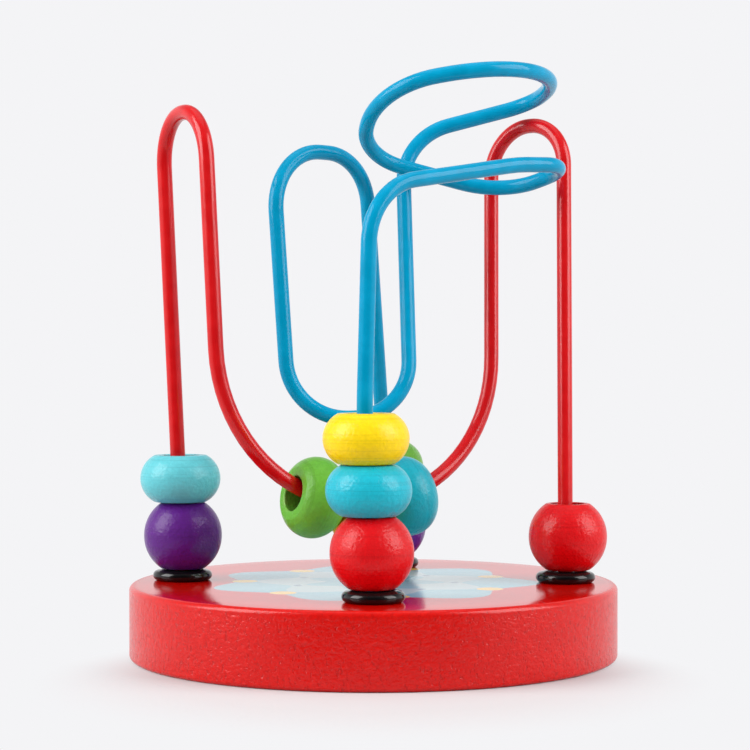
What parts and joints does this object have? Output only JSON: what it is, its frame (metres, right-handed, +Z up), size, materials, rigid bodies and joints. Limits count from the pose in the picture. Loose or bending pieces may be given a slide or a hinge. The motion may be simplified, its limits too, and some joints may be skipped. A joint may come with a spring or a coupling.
{
  "type": "bead maze",
  "caption": "Round painted wooden base with looping coloured wires set in collars, carrying loose wooden beads that a toddler slides along the wires.",
  "frame": {"origin": "middle of the base's underside", "axes": "+Z up, -Y towards the viewer of the picture (front), +X to the right"},
  "size_m": [0.09, 0.09, 0.1083],
  "materials": {
    "red_base_paint": "gloss red lacquer over wood, with a printed top",
    "black_plastic": "gloss moulded",
    "red_wire_coat": "gloss coating over steel wire",
    "blue_wire_coat": "gloss coating over steel wire",
    "purple_bead_paint": "satin-gloss paint over turned wood",
    "turquoise_bead_paint": "satin-gloss paint over turned wood",
    "red_bead_paint": "satin-gloss paint over turned wood",
    "green_bead_paint": "satin-gloss paint over turned wood",
    "yellow_bead_paint": "satin-gloss paint over turned wood",
    "cyan_bead_paint": "satin-gloss paint over turned wood"
  },
  "bodies": {
    "frame": {"base": "red_base_paint", "left_collar": "black_plastic", "right_collar": "black_plastic", "front_collar": "black_plastic", "back_collar": "black_plastic", "red_wire": "red_wire_coat", "blue_wire": "blue_wire_coat"},
    "left_purple": {"left_purple_bead": "purple_bead_paint"},
    "left_turquoise": {"left_turquoise_bead": "turquoise_bead_paint"},
    "right_red": {"right_red_bead": "red_bead_paint"},
    "valley_green": {"valley_green_bead": "green_bead_paint"},
    "valley_yellow": {"valley_yellow_bead": "yellow_bead_paint"},
    "valley_cyan": {"valley_cyan_bead": "cyan_bead_paint"},
    "front_red": {"front_red_bead": "red_bead_paint"},
    "front_cyan": {"front_cyan_bead": "cyan_bead_paint"},
    "front_yellow": {"front_yellow_bead": "yellow_bead_paint"},
    "back_purple": {"back_purple_bead": "purple_bead_paint"},
    "back_green": {"back_green_bead": "green_bead_paint"}
  },
  "joints": [
    {"name": "left_purple_slide", "type": "slide", "parent": "frame", "child": "left_purple", "axis": [-0.0411, -0.0424, 0.9983], "range_m": [0, 0.024]},
    {"name": "left_turquoise_slide", "type": "slide", "parent": "left_purple", "child": "left_turquoise", "axis": [-0.0411, -0.0424, 0.9983], "range_m": [0, 0.024]},
    {"name": "right_red_slide", "type": "slide", "parent": "frame", "child": "right_red", "axis": [0.0048, 0.1144, 0.9934], "range_m": [0, 0.055]},
    {"name": "front_red_slide", "type": "slide", "parent": "frame", "child": "front_red", "axis": [-0.0508, 0, 0.9987], "range_m": [0, 0.006]},
    {"name": "front_cyan_slide", "type": "slide", "parent": "front_red", "child": "front_cyan", "axis": [-0.0508, 0, 0.9987], "range_m": [0, 0.006]},
    {"name": "front_yellow_slide", "type": "slide", "parent": "front_cyan", "child": "front_yellow", "axis": [-0.0508, 0, 0.9987], "range_m": [0, 0.006]},
    {"name": "back_purple_slide", "type": "slide", "parent": "frame", "child": "back_purple", "axis": [-0.0651, -0.2266, 0.9718], "range_m": [0, 0.022]},
    {"name": "back_green_slide", "type": "slide", "parent": "back_purple", "child": "back_green", "axis": [-0.0651, -0.2266, 0.9718], "range_m": [0, 0.022]},
    {"name": "valley_yellow_swing", "type": "hinge", "parent": "frame", "child": "valley_yellow", "pos_m": [-0.002, -0.00325, 0.05756], "axis": [0.5284, -0.849, 0], "range_deg": [-6, 6]},
    {"name": "valley_green_swing", "type": "hinge", "parent": "valley_yellow", "child": "valley_green", "pos_m": [-0.002, -0.00325, 0.05756], "axis": [0.5284, -0.849, 0], "range_deg": [-15, 0]},
    {"name": "valley_cyan_swing", "type": "hinge", "parent": "valley_yellow", "child": "valley_cyan", "pos_m": [-0.002, -0.00325, 0.05756], "axis": [0.5284, -0.849, 0], "range_deg": [0, 11]}
  ]
}
